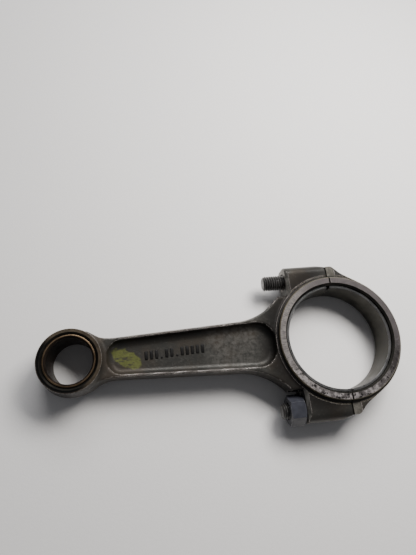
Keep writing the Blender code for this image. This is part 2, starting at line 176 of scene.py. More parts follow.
def to_frame(points):
    """Millimetres from the crank axis to the frame's metres."""
    return np.asarray(points, dtype=float) * MM + np.array(BIG_END)


# ------------------------------------------------------------------ blended solids
def both(a, b, radius):
    """The part inside both fields, with its edge rounded to the radius."""
    reach = np.hypot(np.maximum(a + radius, 0.0), np.maximum(b + radius, 0.0))
    return np.minimum(np.maximum(a, b), -radius) + reach


def either(a, b, radius):
    """The part inside either field, with a fillet of the radius in the corner."""
    return -both(-a, -b, radius)


def flash(z):
    """How far the trimmed flash stands out, at a height from the parting plane."""
    return FLASH * np.exp(-((z / FLASH_HALF) ** 2))


def drafted_cylinder(x, y, z, mid_r, top_r, top, edge):
    """A forged disc, widest at the parting plane, with trimmed flash round it."""
    radius = mid_r + (top_r - mid_r) * np.abs(z) / top + flash(z)
    return both(np.hypot(x, y) - radius, np.abs(z) - top, edge)


def beam_half(x):
    """Half width of the beam at the parting plane, and its slope."""
    straight = NARROW_HALF + BEAM_TAPER * (x - NARROW_X)
    eye_run = np.clip(NARROW_X - x, 0.0, EYE_FILLET * EYE_SWEEP)
    hub_run = np.clip(x - WIDE_X, 0.0, HUB_FILLET * HUB_SWEEP)
    eye_fall = np.sqrt(EYE_FILLET**2 - eye_run**2)
    hub_fall = np.sqrt(HUB_FILLET**2 - hub_run**2)
    half = straight + (EYE_FILLET - eye_fall) + (HUB_FILLET - hub_fall)
    return np.minimum(half, FLARE_HALF), BEAM_TAPER - eye_run / eye_fall + hub_run / hub_fall


def beam_field(x, y, z):
    """The beam, with drafted sides that flare into the eye and the hub."""
    half, slope = beam_half(x)
    draft = BEAM_DRAFT + DRAFT_GROWTH * np.maximum(NARROW_X - x, 0.0)
    side = np.abs(y) - half + draft * np.abs(z) - flash(z) + FLASH
    beam = both(side / np.sqrt(1.0 + slope**2), np.abs(z) - BEAM_HALF_Z, BEAM_EDGE)
    return np.maximum(beam, np.maximum(BEAM_START_X - x, x - BEAM_END_X))


def pocket_field(x, y, z):
    """One pocket on each face, with drafted walls and a rounded floor."""
    side = np.abs(y) - (NARROW_HALF - FLANGE + BEAM_TAPER * (x - NARROW_X))
    plan = both(side, POCKET_EYE_X - x, POCKET_EYE_ROUND)
    plan = both(plan, x - POCKET_HUB_X, POCKET_HUB_ROUND)
    wall = plan * math.cos(WALL_DRAFT) + (BEAM_HALF_Z - np.abs(z)) * math.sin(WALL_DRAFT)
    return both(wall, WEB_HALF_Z - np.abs(z), FLOOR_ROUND)


def boss_field(x, y, z):
    """Both bolt bosses: rounded bars that narrow to the joint, bevelled at the nuts' end."""
    taper = (BOSS_OUTER_Y - EAR_Y) / -BOSS_TAPER_X
    bar = both(np.abs(y) - BOSS_OUTER_Y, np.abs(z) - HUB_TOP, BOSS_ROUND)
    bar = both(bar, np.abs(y) - EAR_Y + taper * x, BOSS_SIDE_EDGE)
    bar = both(bar, BOSS_END_X - x, BOSS_END_EDGE)
    ramp = (np.abs(z) - HUB_TOP + BOSS_END_X - x + BOSS_CHAMFER) / math.sqrt(2.0)
    bar = np.maximum(bar, ramp)
    return np.maximum(bar, np.maximum(BOSS_INNER_Y - np.abs(y), x - BOSS_STOCK))


def ring_field(x, y, z):
    """The thrust ring before it is turned."""
    return np.maximum(np.hypot(x, y) - RING_BLANK_R, np.abs(z) - HALF - RING_STOCK)


def rod_field(x, y, z):
    """The rod's forging, a little past the joint and with no holes."""
    eye = drafted_cylinder(x + CENTRES, y, z, EYE_MID_R, EYE_TOP_R, HALF + EYE_STOCK, EYE_EDGE)
    hub = drafted_cylinder(x, y, z, HUB_MID_R, HUB_TOP_R, HUB_TOP, HUB_EDGE)
    rod = either(eye, beam_field(x, y, z), EYE_BEAM_FILLET)
    rod = either(rod, hub, HUB_BEAM_FILLET)
    rod = either(rod, boss_field(x, y, z), BOSS_FILLET)
    rod = either(rod, ring_field(x, y, z), RING_FILLET)
    rod = both(rod, -pocket_field(x, y, z), POCKET_EDGE)
    return np.maximum(rod, x - JOINT_STOCK)


def cap_field(x, y, z):
    """The cap: short straight ears, and shoulders at 45 degrees that sweep into the hub."""
    shoulder = (x + np.abs(y) - EAR_RUN - EAR_Y) / math.sqrt(2.0)
    ears = np.maximum(both(shoulder, np.abs(y) - EAR_Y, EAR_EDGE), BOSS_INNER_Y - np.abs(y))
    plan = either(np.hypot(x, y) - CAP_R, ears, SHOULDER_SWEEP)
    side = plan + CAP_DRAFT * np.abs(z) - flash(z) + FLASH
    cap = both(side, np.abs(z) - HUB_TOP, HUB_EDGE)
    return np.maximum(either(cap, ring_field(x, y, z), CAP_RING_FILLET), -x - JOINT_STOCK)


# ------------------------------------------------------------------ field to mesh
CORNERS = np.array([(i, j, k) for i in (0, 1) for j in (0, 1) for k in (0, 1)])
EDGES = [
    (a, b) for a in range(8) for b in range(a + 1, 8) if np.abs(CORNERS[a] - CORNERS[b]).sum() == 1
]
PULLS = 3                   # times that each point is drawn onto the surface
SLOPE_REACH = 0.05          # share of the grid over which a slope is measured
LEAST_SQUARED_SLOPE = 0.04
PULL_LIMIT = 3              # a pull is no longer than the grid over this


def quads_across(inside, cell_of, axis):
    """One quad round every grid edge along the axis that crosses the surface."""
    lower = np.moveaxis(inside, axis, 0)[:-1]
    upper = np.moveaxis(inside, axis, 0)[1:]
    crossing = np.moveaxis(lower != upper, 0, axis)
    starts = np.argwhere(crossing)
    first, second = (axis + 1) % 3, (axis + 2) % 3
    ring = []
    for step_a, step_b in ((0, 0), (1, 0), (1, 1), (0, 1)):
        cell = starts.copy()
        cell[:, first] -= step_a
        cell[:, second] -= step_b
        ring.append(cell_of[tuple(cell.T)])
    quads = np.stack(ring, axis=1)
    outward = inside[tuple(starts.T)]
    quads[outward] = quads[outward][:, ::-1]
    return quads[:, ::-1]


def skin(field, low, high, grid):
    """Surface nets over the field, with each point then drawn onto the surface."""
    axes = [np.arange(lo, hi + grid, grid) for lo, hi in zip(low, high)]
    values = field(*np.meshgrid(*axes, indexing="ij"))
    inside = values < 0.0
    counts = np.zeros([n - 1 for n in inside.shape], dtype=np.int8)
    for corner in CORNERS:
        window = tuple(slice(c, c + n) for c, n in zip(corner, counts.shape))
        counts += inside[window]
    cells = np.argwhere((counts > 0) & (counts < 8))
    cell_of = np.full(counts.shape, -1, dtype=np.int64)
    cell_of[tuple(cells.T)] = np.arange(len(cells))
    samples = np.stack([values[tuple((cells + corner).T)] for corner in CORNERS], axis=1)
    total = np.zeros((len(cells), 3))
    hits = np.zeros(len(cells))
    for a, b in EDGES:
        va, vb = samples[:, a], samples[:, b]
        crossed = (va < 0.0) != (vb < 0.0)
        share = np.where(crossed, va / np.where(crossed, va - vb, 1.0), 0.0)
        point = CORNERS[a] + share[:, None] * (CORNERS[b] - CORNERS[a])
        total += point * crossed[:, None]
        hits += crossed
    points = np.array(low) + grid * (cells + total / hits[:, None])
    for _ in range(PULLS):
        points = drawn_on(field, points, grid)
    quads = np.concatenate([quads_across(inside, cell_of, axis) for axis in range(3)])
    return points, quads


def drawn_on(field, points, grid):
    """Newton's step along the field's slope, kept short."""
    small = grid * SLOPE_REACH
    here = field(*points.T)
    slope = np.stack([
        (field(*(points + small * unit).T) - field(*(points - small * unit).T)) / (2 * small)
        for unit in np.eye(3)
    ], axis=1)
    steep = np.maximum((slope**2).sum(axis=1), LEAST_SQUARED_SLOPE)
    move = -(here / steep)[:, None] * slope
    length = np.maximum(np.linalg.norm(move, axis=1), 1e-9)
    return points + move * np.minimum(1.0, grid / PULL_LIMIT / length)[:, None]


# ------------------------------------------------------------------ meshes
pieces = bpy.data.collections.new("connecting_rod_look")
bpy.context.scene.collection.children.link(pieces)


def new_piece(name, points, faces):
    """An object from points in millimetres and their faces."""
    mesh = bpy.data.meshes.new(name)
    faces = [tuple(int(i) for i in face) for face in faces]
    mesh.from_pydata([tuple(p) for p in to_frame(points)], [], faces)
    mesh.update()
    piece = bpy.data.objects.new(name, mesh)
    pieces.objects.link(piece)
    return piece


def turned(name, profile, steps, centre=(0.0, 0.0), ring=False):
    """Turn a profile of (radius, z) points, outer side from top to bottom, about Z."""
    points, faces = [], []
    count = len(profile)
    for i in range(steps):
        angle = math.tau * i / steps
        east, north = math.cos(angle), math.sin(angle)
        points += [(centre[0] + r * east, centre[1] + r * north, z) for r, z in profile]
    spans = count if ring else count - 1
    for i in range(steps):
        near, far = i * count, (i + 1) % steps * count
        for j in range(spans):
            k = (j + 1) % count
            faces.append((near + j, near + k, far + k, far + j))
    piece = new_piece(name, points, faces)
    bm = bmesh.new()
    bm.from_mesh(piece.data)
    bmesh.ops.remove_doubles(bm, verts=bm.verts, dist=MERGE)
    bmesh.ops.recalc_face_normals(bm, faces=bm.faces)
    bm.to_mesh(piece.data)
    bm.free()
    return piece


def along_x(piece, y):
    """Stand a turned shape along X at the bolt's height, its z becoming x."""
    spin = Matrix.Rotation(math.radians(90.0), 4, "Y")
    shift = Matrix.Translation(BIG_END + Vector((0.0, y * MM, 0.0)))
    piece.data.transform(shift @ spin @ Matrix.Translation(-BIG_END))
    return piece


def mirrored(outer, inner):
    """A ring's closed profile, from the upper points of its outer and inner sides."""
    below = [[(r, -z) for r, z in side] for side in (reversed(outer), inner)]
    return [*outer, *below[0], *below[1], *reversed(inner)]


def block(name, low, high):
    """A box between two corners."""
    points = list(itertools.product(*zip(low, high)))
    faces = [(0, 1, 3, 2), (4, 6, 7, 5), (0, 4, 5, 1), (2, 3, 7, 6), (0, 2, 6, 4), (1, 5, 7, 3)]
    return new_piece(name, points, faces)


def bake(piece):
    """Replace the piece's mesh by what its modifiers make of it."""
    depsgraph = bpy.context.evaluated_depsgraph_get()
    mesh = bpy.data.meshes.new_from_object(piece.evaluated_get(depsgraph))
    piece.modifiers.clear()
    piece.data = mesh


def combine(piece, other, operation="DIFFERENCE"):
    """Cut, join or keep what both share, and take the other piece away."""
    step = piece.modifiers.new(operation, "BOOLEAN")
    step.operation = operation
    step.solver = "MANIFOLD"
    step.object = other
    bake(piece)
    bpy.data.objects.remove(other, do_unlink=True)


def bore_tool(name, radius, chamfer, centre, steps):
    """A bore right through, with a chamfer at each face."""
    wide = radius + chamfer + BORE_PAST
    mouth, end = HALF - chamfer, HALF + BORE_PAST
    profile = [(0.0, end), (wide, end), (radius, mouth), (radius, -mouth), (wide, -end), (0.0, -end)]
    return turned(name, profile, steps, centre)


def ring_tool(sign):
    """The lathe's cut round the ring: outer wall, foot fillet, ledge and chamfer."""
    over = HALF + RING_PAST
    profile = [
        (RING_R - RING_CHAMFER - RING_PAST, over), (LEDGE_R + RING_CLEAR, over),
        (LEDGE_R + LEDGE_SLOPE, LEDGE_TOP + LEDGE_SLOPE), (LEDGE_R, LEDGE_TOP),
        *[(RING_R + out, LEDGE_TOP + up) for out, up in RING_FOOT],
        (RING_R, HALF - RING_CHAMFER),
    ]
    return turned("ring_tool", [(r, sign * z) for r, z in profile], RING_STEPS, ring=True)


def joint_groove(sign):
    """A shallow vee across the thrust faces, which breaks both edges of the joint."""
    wide, top, foot = JOINT_VEE + VEE_PAST, sign * (HALF + VEE_PAST), sign * (HALF - JOINT_VEE)
    points = [(x, y, z) for y in (-FAR, FAR) for x, z in ((-wide, top), (wide, top), (0.0, foot))]
    faces = [(0, 1, 2), (5, 4, 3), (0, 3, 4, 1), (1, 4, 5, 2), (2, 5, 3, 0)]
    if sign > 0.0:
        faces = [face[::-1] for face in faces]
    return new_piece("joint_vee", points, faces)


def cut_big_end(piece, low_x):
    """The cuts that both halves share: joint edges, faces, rings and housing."""
    for sign in FACES:
        combine(piece, joint_groove(sign))
        low, high = sorted((sign * HALF, sign * (HALF + FACING_PAST)))
        combine(piece, block("facing", (low_x, -FAR, low), (FAR, FAR, high)))
        combine(piece, ring_tool(sign))
    combine(piece, bore_tool("housing", HOUSING_R, HOUSING_CHAMFER, (0.0, 0.0), RING_STEPS))


def rod_cuts(rod):
    """The rod's bores, nut seats, bolt holes, ear grooves and joint face."""
    cut_big_end(rod, FAR_EYE_X)
    combine(rod, bore_tool("eye_bore", EYE_BORE_R, EYE_BORE_CHAMFER, (-CENTRES, 0.0), EYE_STEPS))
    for sign in SIDES.values():
        room = [
            (0.0, BOSS_END_X), (NUT_ROOM_R - ROOM_ROUND, BOSS_END_X),
            (NUT_ROOM_R - ROOM_ROUND_MID, BOSS_END_X - ROOM_ROUND_MID),
            (NUT_ROOM_R, BOSS_END_X - ROOM_ROUND), (NUT_ROOM_R, BOSS_END_X - NUT_ROOM),
            (0.0, BOSS_END_X - NUT_ROOM),
        ]
        combine(rod, along_x(turned("nut_room", room, ROOM_STEPS), sign * BOLT_Y))
        hole = [
            (0.0, HOLE_PAST), (BOLT_HOLE_R, HOLE_PAST), (BOLT_HOLE_R, BOSS_END_X + HOLE_SINK),
            (BOLT_HOLE_R + 2 * HOLE_SINK, BOSS_END_X - HOLE_SINK), (0.0, BOSS_END_X - HOLE_SINK),
        ]
        combine(rod, along_x(turned("bolt_hole", hole, HOLE_STEPS), sign * BOLT_Y))
        near, far = sorted((sign * JOINT_GROOVE_Y, sign * FAR))
        for face in FACES:
            low, high = sorted((face * JOINT_GROOVE_Z, face * FAR_Z))
            corner = (-GAP / 2 - JOINT_GROOVE, near, low)
            combine(rod, block("ear_groove", corner, (GROOVE_END_X, far, high)))
    combine(rod, block("cap_space", (-GAP / 2, -FAR, -FAR_Z), (SPACE_END_X, FAR, FAR_Z)))


def cap_cuts(cap):
    """The cap's bolt holes, head slots, ear flats and joint face."""
    cut_big_end(cap, -FAR)
    depth = HEAD_HALF_Z + GAP
    for sign in SIDES.values():
        hole = [
            (0.0, CAP_HOLE_END_X), (BOLT_HOLE_R, CAP_HOLE_END_X),
            (BOLT_HOLE_R, -HOLE_PAST), (0.0, -HOLE_PAST),
        ]
        combine(cap, along_x(turned("bolt_hole", hole, HOLE_STEPS), sign * BOLT_Y))
        near, far = sorted((sign * (HEAD_INNER_Y - GAP), sign * FAR))
        combine(cap, block("head_slot", (HEAD_SEAT_X - GAP, near, -depth), (FAR, far, depth)))
        near, far = sorted((sign * EAR_FLAT_Y, sign * FAR))
        for face in FACES:
            low, high = sorted((face * EAR_FLAT_TOP, face * FAR_Z))
            combine(cap, block("ear_flat", (-HOLE_PAST, near, low), (EAR_FLAT_X, far, high)))
    combine(cap, block("rod_space", (-SPACE_END_X, -FAR, -FAR_Z), (GAP / 2, FAR, FAR_Z)))


def build_forgings():
    """The rod and the cap, each skinned from its field and then machined."""
    rod = new_piece("forged_rod", *skin(rod_field, *ROD_BOX, ROD_GRID))
    rod_cuts(rod)
    cap = new_piece("forged_cap", *skin(cap_field, *CAP_BOX, CAP_GRID))
    cap_cuts(cap)
    return rod, cap


# ------------------------------------------------------------------ small parts
def threaded_bar(name, radius, tip_x, end_x, thread_end, y, pointed=True):
    """A round bar along X, with a thread cut from its tip to thread_end."""
    around = THREAD_AROUND
    rings = int((thread_end + THREAD_RUN_OUT - tip_x) / THREAD_STEP)
    xs = [tip_x + THREAD_STEP * i for i in range(rings + 1)] + [end_x]
    turn = np.arange(around) / around
    points = []
    for x in xs:
        phase = (x / THREAD_PITCH - turn) % 1.0
        crest = np.abs(2.0 * phase - 1.0)
        groove = 1.0 - np.clip((crest - THREAD_CREST) / THREAD_FLANK, 0.0, 1.0)
        fade = np.clip((thread_end - x) / THREAD_RUN_OUT, 0.0, 1.0)
        r = radius - THREAD_DEPTH * fade * groove
        if pointed:
            r = np.minimum(r, radius - TIP_INSET + TIP_SLOPE * (x - tip_x))
        angle = math.tau * turn
        points += list(zip(np.full(around, x), y + r * np.cos(angle), r * np.sin(angle)))
    faces = []
    for i in range(len(xs) - 1):
        for j in range(around):
            k = (j + 1) % around
            faces.append((i * around + j, i * around + k, (i + 1) * around + k, (i + 1) * around + j))
    faces.append(tuple(reversed(range(around))))
    faces.append(tuple(range((len(xs) - 1) * around, len(xs) * around)))
    piece = new_piece(name, points, faces)
    bm = bmesh.new()
    bm.from_mesh(piece.data)
    bmesh.ops.recalc_face_normals(bm, faces=bm.faces)
    bm.to_mesh(piece.data)
    bm.free()
    return piece


def prism(name, outline, low, high, bevel, segments=3):
    """An upright prism over an outline, with bevelled edges."""
    count = len(outline)
    points = [(x, y, low) for x, y in outline] + [(x, y, high) for x, y in outline]
    faces = [tuple(range(count)), tuple(range(2 * count - 1, count - 1, -1))]
    faces += [(i, i + count, (i + 1) % count + count, (i + 1) % count) for i in range(count)]
    piece = new_piece(name, points, faces)
    bm = bmesh.new()
    bm.from_mesh(piece.data)
    bmesh.ops.recalc_face_normals(bm, faces=bm.faces)
    bmesh.ops.bevel(
        bm, geom=bm.edges[:], offset=bevel * MM, segments=segments, affect="EDGES", profile=0.5
    )
    bm.to_mesh(piece.data)
    bm.free()
    return piece


def build_bolt(side, sign):
    """A bolt with a T-shaped head, trimmed to the cap's shoulder."""
    y = sign * BOLT_Y
    seat, top = HEAD_SEAT_X, HEAD_SEAT_X + HEAD_HEIGHT
    shoulder = [(x, EAR_Y + EAR_RUN - x - HEAD_SET_BACK) for x in (top, seat)]
    outline = [(seat, HEAD_INNER_Y), (top, HEAD_INNER_Y), *shoulder]
    outline = [(x, sign * y) for x, y in outline]
    bolt = prism(side + "_bolt_look", outline, -HEAD_HALF_Z, HEAD_HALF_Z, HEAD_BEVEL)
    shank = threaded_bar("shank", BOLT_R, BOLT_TIP_X, seat + HEAD_ROOT, THREAD_END_X, y)
    combine(bolt, shank, "UNION")
    return bolt


def polygon(corners, radius, first, centre=(0.0, 0.0)):
    """Corners of a regular polygon, the first at an angle round its centre."""
    angles = [math.tau * i / corners + first for i in range(corners)]
    return [(centre[0] + radius * math.cos(a), centre[1] + radius * math.sin(a)) for a in angles]


def build_nut(side, sign):
    """A hex nut against the boss, chamfered at both ends, with a tapped hole."""
    y = sign * BOLT_Y
    low_x = BOSS_END_X - GAP - NUT_HEIGHT
    high_x = BOSS_END_X - GAP
    hexagon = polygon(6, NUT_FLATS / math.sqrt(3.0), math.pi / 2)
    nut = along_x(prism(side + "_nut_look", hexagon, low_x, high_x, NUT_BEVEL, 2), y)
    face_r = NUT_FLATS / 2 - NUT_FACE_INSET
    wide_r = face_r + 2.0 * NUT_CHAMFER
    blank = turned("nut_blank", [
        (0.0, high_x), (face_r, high_x), (wide_r, high_x - NUT_CHAMFER),
        (wide_r, low_x + NUT_CHAMFER), (face_r, low_x), (0.0, low_x),
    ], NUT_STEPS)
    combine(nut, along_x(blank, y), "INTERSECT")
    for end, out in ((low_x, -1.0), (high_x, 1.0)):
        mouth = [(BOLT_R + MOUTH_OUT, end + out * MOUTH_PAST), (BOLT_R - MOUTH_IN, end - out * MOUTH_DEPTH)]
        mouth.sort(key=lambda point: -point[1])
        cone = turned("nut_mouth", [(0.0, mouth[0][1]), *mouth, (0.0, mouth[1][1])], MOUTH_STEPS)
        combine(nut, along_x(cone, y))
    start, thread_end, end = low_x - TAP_START, high_x + TAP_THREAD, high_x + TAP_END
    combine(nut, threaded_bar("tap", BOLT_R + TAP_CLEARANCE, start, end, thread_end, y, pointed=False))
    return nut


def build_shells():
    """Both bearing shells, each with the notch of its locating tang."""
    back, bore = SHELL_BACK_CHAMFER, SHELL_BORE_CHAMFER
    profile = mirrored(
        [(SHELL_BACK_R - back, SHELL_HALF), (SHELL_BACK_R, SHELL_HALF - back)],
        [(SHELL_BORE_R + bore, SHELL_HALF), (SHELL_BORE_R, SHELL_HALF - bore)],
    )
    shells = []
    for name, sign in (("rod_shell_look", -1.0), ("cap_shell_look", 1.0)):
        shell = turned(name, profile, SHELL_STEPS, ring=True)
        low, high = sorted((sign * GAP / 2, -sign * SHELL_FAR))
        other_half = block("other_half", (low, -SHELL_FAR, -SHELL_FAR_Z), (high, SHELL_FAR, SHELL_FAR_Z))
        combine(shell, other_half)
        low, high = sorted((sign * TANG_DEPTH, -sign * TANG_PAST))
        near, far = sorted(-sign * y for y in TANG_Y)
        combine(shell, block("tang", (low, near, TANG_Z[0]), (high, far, TANG_Z[1])))
        shells.append(shell)
    return shells


def build_bush():
    """The small end's bush, chamfered inside and out."""
    top = HALF - BUSH_PROUD
    outer = [(BUSH_R + out, top + up) for out, up in BUSH_OUTER_EDGE]
    inner = [(BUSH_BORE_R + out, top + up) for out, up in BUSH_BORE_EDGE]
    return turned("bush_look", mirrored(outer, inner), BUSH_STEPS, (-CENTRES, 0.0), ring=True)


def build_marks():
    """One piece of plain raised bars and dots that carries no lettering."""
    marks = []
    root = WEB_HALF_Z - MARK_ROOT
    for first_x, first_y, bars in MARK_GROUPS:
        for i in range(bars):
            x, y = first_x + MARK_PITCH * i, first_y + MARK_RISE * i
            low, high = (x - MARK_HALF, y - MARK_LENGTH / 2), (x + MARK_HALF, y + MARK_LENGTH / 2)
            bar = [low, (high[0], low[1]), high, (low[0], high[1])]
            marks.append(prism("mark", bar, root, WEB_HALF_Z + MARK_HEIGHT, MARK_BEVEL))
    for centre in DOTS:
        dot = polygon(DOT_CORNERS, DOT_R, 0.0, centre)
        marks.append(prism("mark", dot, root, WEB_HALF_Z + DOT_HEIGHT, DOT_BEVEL, 2))
    bm = bmesh.new()
    for mark in marks:
        bm.from_mesh(mark.data)
        bpy.data.objects.remove(mark, do_unlink=True)
    mesh = bpy.data.meshes.new("web_marks")
    bm.to_mesh(mesh)
    bm.free()
    piece = bpy.data.objects.new("web_marks", mesh)
    pieces.objects.link(piece)
    return piece


# ------------------------------------------------------------------ materials
class Finish:
    """One material, built round its Principled shader."""

    def __init__(self, name, roughness, metallic):
        self.material = bpy.data.materials.new(name)
        self.material.use_nodes = True
        self.tree = self.material.node_tree
        self.shader = self.tree.nodes["Principled BSDF"]
        self.shader.inputs["Roughness"].default_value = roughness
        self.shader.inputs["Metallic"].default_value = metallic
        shift = self.add("ShaderNodeVectorMath", {0: self.add("ShaderNodeTexCoord").outputs["Object"]})
        shift.operation = "SUBTRACT"
        shift.inputs[1].default_value = BIG_END
        scale = self.add("ShaderNodeVectorMath", {0: shift.outputs[0]})
        scale.operation = "SCALE"
        scale.inputs["Scale"].default_value = 1.0 / MM
        self.at = scale.outputs[0]
        self.x, self.y, self.z = self.add("ShaderNodeSeparateXYZ", {0: self.at}).outputs

    def add(self, kind, inputs=None):
        """A node of the kind, with its inputs set or linked."""
        node = self.tree.nodes.new(kind)
        for key, value in (inputs or {}).items():
            self.put(node.inputs[key], value)
        return node

    def put(self, socket, value):
        if isinstance(value, bpy.types.NodeSocket):
            self.tree.links.new(value, socket)
        elif socket.type == "RGBA":
            socket.default_value = (*value, 1.0)
        else:
            socket.default_value = value

    def math(self, operation, a, b=0.0):
        node = self.add("ShaderNodeMath", {0: a, 1: b})
        node.operation = operation
        return node.outputs[0]

    def plus(self, a, b):
        return self.math("ADD", a, b)

    def times(self, a, b):
        return self.math("MULTIPLY", a, b)

    def polar(self, centre_x):
        """Distance from an axis along Z, and the turn round it from -1 to 1."""
        x = self.math("SUBTRACT", self.x, centre_x)
        square = self.plus(self.times(x, x), self.times(self.y, self.y))
        turn = self.math("ARCTAN2", self.y, x)
        return self.math("SQRT", square), self.math("DIVIDE", turn, math.pi)

    def noise(self, size, detail=3.0, rough=0.55, at=None, seed=0.0):
        """Noise from 0 to 1, with features of about the size in mm."""
        node = self.add("ShaderNodeTexNoise", {"Vector": at or self.at})
        node.noise_dimensions = "4D"
        node.inputs["W"].default_value = seed
        node.inputs["Scale"].default_value = 1.0 / size
        node.inputs["Detail"].default_value = detail
        node.inputs["Roughness"].default_value = rough
        return node.outputs["Fac"]

    def stretched(self, x, y, z):
        """Places for noise that is drawn out along the axes with small factors."""
        node = self.add("ShaderNodeVectorMath", {0: self.at, 1: (x, y, z)})
        node.operation = "MULTIPLY"
        return node.outputs[0]

    def joined(self, x, y, z):
        """One place from three numbers."""
        return self.add("ShaderNodeCombineXYZ", {0: x, 1: y, 2: z}).outputs[0]

    def step(self, value, low, high, to_low=0.0, to_high=1.0):
        """A smooth rise or fall between two limits of the value."""
        node = self.add("ShaderNodeMapRange", {
            "Value": value, "From Min": low, "From Max": high, "To Min": to_low, "To Max": to_high,
        })
        node.interpolation_type = "SMOOTHSTEP"
        return node.outputs["Result"]

    def mix(self, factor, a, b):
        """Colour a where the factor is 0, colour b where it is 1."""
        node = self.add("ShaderNodeMix")
        node.data_type = "RGBA"
        self.put(node.inputs["Factor"], factor)
        self.put(node.inputs[6], a)
        self.put(node.inputs[7], b)
        return node.outputs[2]

    def over(self, under, colour, cover, share):
        """A colour laid over another, as far as the cover and the share of it say."""
        return self.mix(self.times(cover, share), under, colour)

    def edges(self, radius):
        """1 on worn convex or concave edges, 0 on open surfaces."""
        bevel = self.add("ShaderNodeBevel", {"Radius": radius * MM})
        bevel.samples = SHADER_SAMPLES
        node = self.add("ShaderNodeVectorMath", {
            0: bevel.outputs[0], 1: self.add("ShaderNodeNewGeometry").outputs["Normal"],
        })
        node.operation = "DOT_PRODUCT"
        return self.step(node.outputs["Value"], 0.995, 0.93)

    def hollows(self, reach):
        """1 deep in corners, 0 in the open."""
        node = self.add("ShaderNodeAmbientOcclusion", {"Distance": reach * MM})
        node.samples = SHADER_SAMPLES
        return self.step(node.outputs["AO"], 0.85, 0.35)

    def colour(self, value):
        self.put(self.shader.inputs["Base Color"], value)

    def rough(self, value):
        self.put(self.shader.inputs["Roughness"], value)

    def bump(self, height, depth):
        """Bump from a height of 0 to 1 that stands for depth mm."""
        node = self.add("ShaderNodeBump", {"Height": height})
        node.inputs["Distance"].default_value = depth * MM
        self.put(self.shader.inputs["Normal"], node.outputs[0])


def across_eye(f):
    """Distance in mm across the small end, from the side painted with shade to the lit one."""
    return f.plus(f.times(f.plus(f.x, CENTRES), 0.8), f.times(f.y, 0.6))


def forged_finish():
    """Die-forged steel: browned in patches, with painted shade in its hollows, on the small end's shaded
    side and round the hub's foot, rubbed bright on its edges.
    """
    f = Finish("forged_skin", 0.5, 0.65)
    broad = f.noise(16.0, 4.0, 0.6)
    fine = f.noise(1.3, 3.0, 0.6, seed=3.0)
    grain = f.noise(0.45, 2.0, 0.5, seed=5.0)
    body = f.mix(f.step(broad, 0.40, 0.68), (0.050, 0.048, 0.043), (0.062, 0.051, 0.040))
    body = f.mix(f.step(fine, 0.55, 0.80), body, (0.105, 0.098, 0.088))
    rubbed = f.times(f.step(f.x, -74.0, -62.0), f.step(f.x, -36.0, -46.0))
    rubbed = f.times(rubbed, f.step(f.noise(2.2, 5.0, 0.7, seed=14.0), 0.34, 0.66))
    body = f.over(body, (0.135, 0.126, 0.113), rubbed, 0.7)
    # Painted shade: near black laid on the small end's side away from the lamp.
    eye_shade_side = f.step(f.plus(across_eye(f), f.times(broad, 8.0)), 8.0, -6.0)
    near_eye = f.step(f.polar(-CENTRES)[0], 22.0, 18.0)
    body = f.over(body, SHADE_BLACK, f.times(eye_shade_side, near_eye), 0.85)
    # Painted shade: darker round the foot of the hub and the ring.
    hub_foot = f.times(f.step(f.polar(0.0)[0], 44.0, 34.5), f.step(f.x, 2.0, -12.0))
    body = f.over(body, SHADE_BLACK, hub_foot, 0.72)
    # Painted shade: near black in the corners and hollows that the occlusion finds.
    body = f.over(body, (0.012, 0.011, 0.010), f.hollows(5.0), 0.85)
    worn = f.times(f.edges(0.50), f.step(f.noise(1.0, 3.0, 0.65, seed=9.0), 0.34, 0.54))
    worn = f.times(worn, f.step(f.math("ABSOLUTE", f.x), 1.2, 2.6))
    body = f.over(body, (0.68, 0.61, 0.57), worn, 0.85)
    web = f.times(f.step(f.z, 2.1, 2.3), f.step(f.z, 4.6, 2.8))
    f.colour(daub(f, body, web))
    f.rough(f.step(f.plus(fine, broad), 0.7, 1.4, 0.36, 0.58))
    f.bump(f.plus(fine, f.times(grain, 0.5)), 0.10)
    return f.material


def daub(f, under, web):
    """A plain smear of old paint, leaning a little, along the web's end."""
    warp = f.times(f.math("SUBTRACT", f.noise(3.5, 3.0, seed=21.0), 0.5), 5.0)
    along = f.math("SUBTRACT", f.x, DAUB_X)
    x = f.math("DIVIDE", along, DAUB_HALF_LENGTH)
    lean = f.plus(f.y, f.times(along, DAUB_LEAN))
    aside = f.plus(f.math("SUBTRACT", lean, DAUB_Y), warp)
    y = f.math("DIVIDE", aside, DAUB_HALF_WIDTH)
    away = f.plus(f.times(x, x), f.times(y, y))
    streak = f.noise(0.9, 2.0, 0.6, at=f.stretched(0.25, 1.0, 1.0), seed=23.0)
    cover = f.times(f.step(away, 1.1, 0.75), f.step(streak, 0.34, 0.50))
    paint = f.mix(f.noise(1.6, 3.0, seed=25.0), (0.080, 0.088, 0.030), (0.19, 0.20, 0.065))
    return f.mix(f.times(cover, web), under, paint)


